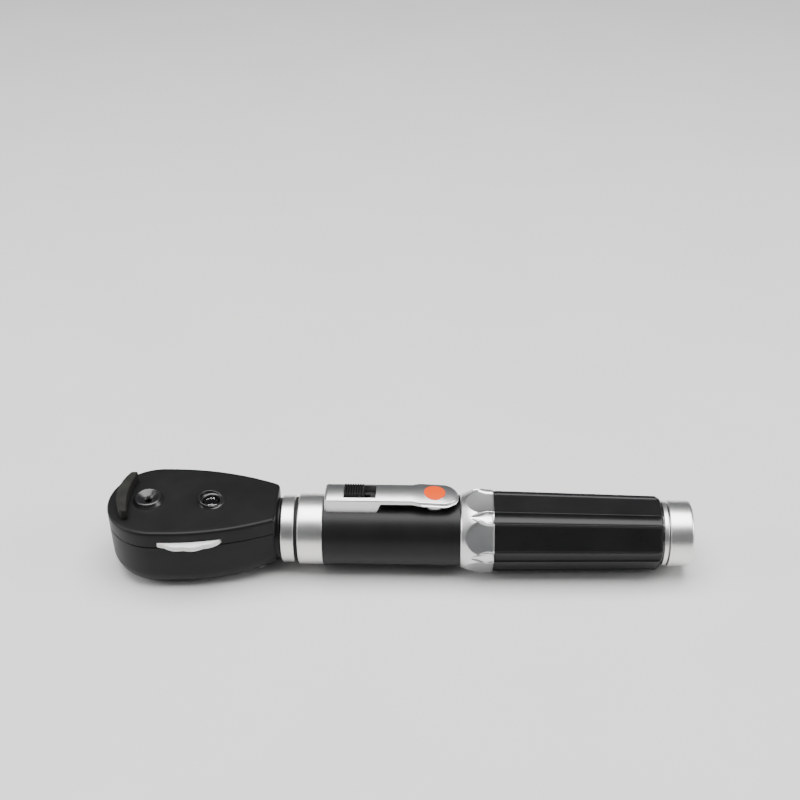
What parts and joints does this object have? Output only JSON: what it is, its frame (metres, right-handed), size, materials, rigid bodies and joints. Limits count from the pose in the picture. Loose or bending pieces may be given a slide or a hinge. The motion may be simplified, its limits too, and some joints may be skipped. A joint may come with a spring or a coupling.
{
  "type": "pocket ophthalmoscope",
  "caption": "Battery-powered pocket ophthalmoscope: round-nosed black head with a thumb-turned lens disc, eyepiece and dial window on a slim hexagonal battery handle with a slide switch in its clip.",
  "frame": {"origin": "on the surface the part lies on, under the middle of its outer box", "axes": "+X along the handle from the head to the tail cap, +Z out of the head's face, where the eyepiece and the clip are, +Y across"},
  "size_m": [0.1856, 0.0362, 0.0295],
  "materials": {
    "black_plastic": "satin moulded black plastic",
    "black_gloss": "polished black plastic",
    "black_grip": "satin black grip plastic",
    "rubber": "matte dark grey rubber",
    "satin_metal": "turned satin aluminium",
    "chrome": "satin chrome",
    "brass": "plain brass",
    "spring_steel": "bright spring steel",
    "pale_plastic": "pale grey satin plastic",
    "glass": "clear polished glass",
    "mirror_face": "front-surface mirror",
    "cell_wrap": "plain green cell wrapper",
    "orange_enamel": "orange enamel"
  },
  "bodies": {
    "handle": {"battery_tube": "brass", "barrel_sleeve": "black_plastic", "handle_ferrule": "satin_metal", "neck_washer": "rubber", "contact_insulator": "pale_plastic", "contact_pin": "brass", "faceted_collar": "chrome", "grip_sleeve": "black_grip", "tail_ring": "satin_metal", "battery_front": "cell_wrap", "battery_rear": "cell_wrap", "clip_base": "chrome", "switch_guide": "black_plastic", "switch_contact": "brass"},
    "clip_arm": {"clip_arm": "chrome", "badge_disc": "orange_enamel"},
    "switch_slider": {"switch_slider": "black_plastic"},
    "tail_contact": {"tail_contact_plate": "brass", "tail_spring": "spring_steel"},
    "tail_cap": {"tail_cap": "satin_metal"},
    "head": {"rear_housing": "black_plastic", "front_cover": "black_plastic", "screw_nose": "spring_steel", "screw_neck": "spring_steel", "patient_window": "glass", "eyepiece_ring": "black_gloss", "dial_bezel": "black_gloss", "dial_magnifier": "glass", "brow_rest": "rubber", "disc_axle": "spring_steel", "detent_spring": "spring_steel", "lamp_base": "brass", "lamp_bulb": "glass", "optics_carrier": "black_plastic", "condenser_lens": "glass", "objective_lens": "glass", "mirror": "mirror_face", "aperture_axle": "spring_steel"},
    "union_nut": {"union_nut": "satin_metal"},
    "lens_disc": {"lens_disc": "pale_plastic", "lens_01": "glass", "lens_02": "glass", "lens_03": "glass", "lens_04": "glass", "lens_05": "glass", "lens_06": "glass", "lens_07": "glass", "lens_08": "glass", "lens_09": "glass", "lens_10": "glass", "lens_11": "glass", "lens_12": "glass", "lens_13": "glass", "lens_14": "glass", "lens_15": "glass", "lens_16": "glass", "lens_17": "glass"},
    "aperture_wheel": {"aperture_wheel": "black_grip"}
  },
  "joints": [
    {"name": "lens_disc_spin", "type": "hinge", "parent": "head", "child": "lens_disc", "pos_m": [-0.0663, 0, 0.0191], "axis": [0, 0, 1], "continuous": true},
    {"name": "aperture_wheel_spin", "type": "hinge", "parent": "head", "child": "aperture_wheel", "pos_m": [-0.05685, 0, 0.00737], "axis": [1, 0, 0], "continuous": true},
    {"name": "switch_slide", "type": "slide", "parent": "handle", "child": "switch_slider", "axis": [1, 0, 0], "range_m": [0, 0.0035]},
    {"name": "clip_flex", "type": "hinge", "parent": "handle", "child": "clip_arm", "pos_m": [-0.00635, 0, 0.0275], "axis": [0, -1, 0], "range_deg": [0, 6], "stiffness_Nm_per_rad": 1},
    {"name": "head_release", "type": "slide", "parent": "handle", "child": "head", "axis": [-1, 0, 0], "range_m": [0, 0.003]},
    {"name": "union_nut_spin", "type": "hinge", "parent": "head", "child": "union_nut", "pos_m": [-0.0351, 0, 0.0124], "axis": [-1, 0, 0], "range_deg": [0, 1085]},
    {"name": "tail_release", "type": "slide", "parent": "handle", "child": "tail_contact", "axis": [1, 0, 0], "range_m": [0, 0.0031]},
    {"name": "tail_cap_spin", "type": "hinge", "parent": "tail_contact", "child": "tail_cap", "pos_m": [0.0891, 0, 0.0124], "axis": [1, 0, 0], "range_deg": [0, 1080]}
  ],
  "couplings": [
    {"joint": "union_nut_spin", "follows": "head_release", "rad_per_m": 6283.2},
    {"joint": "tail_release", "follows": "tail_cap_spin", "m_per_rad": 0.00015915}
  ]
}
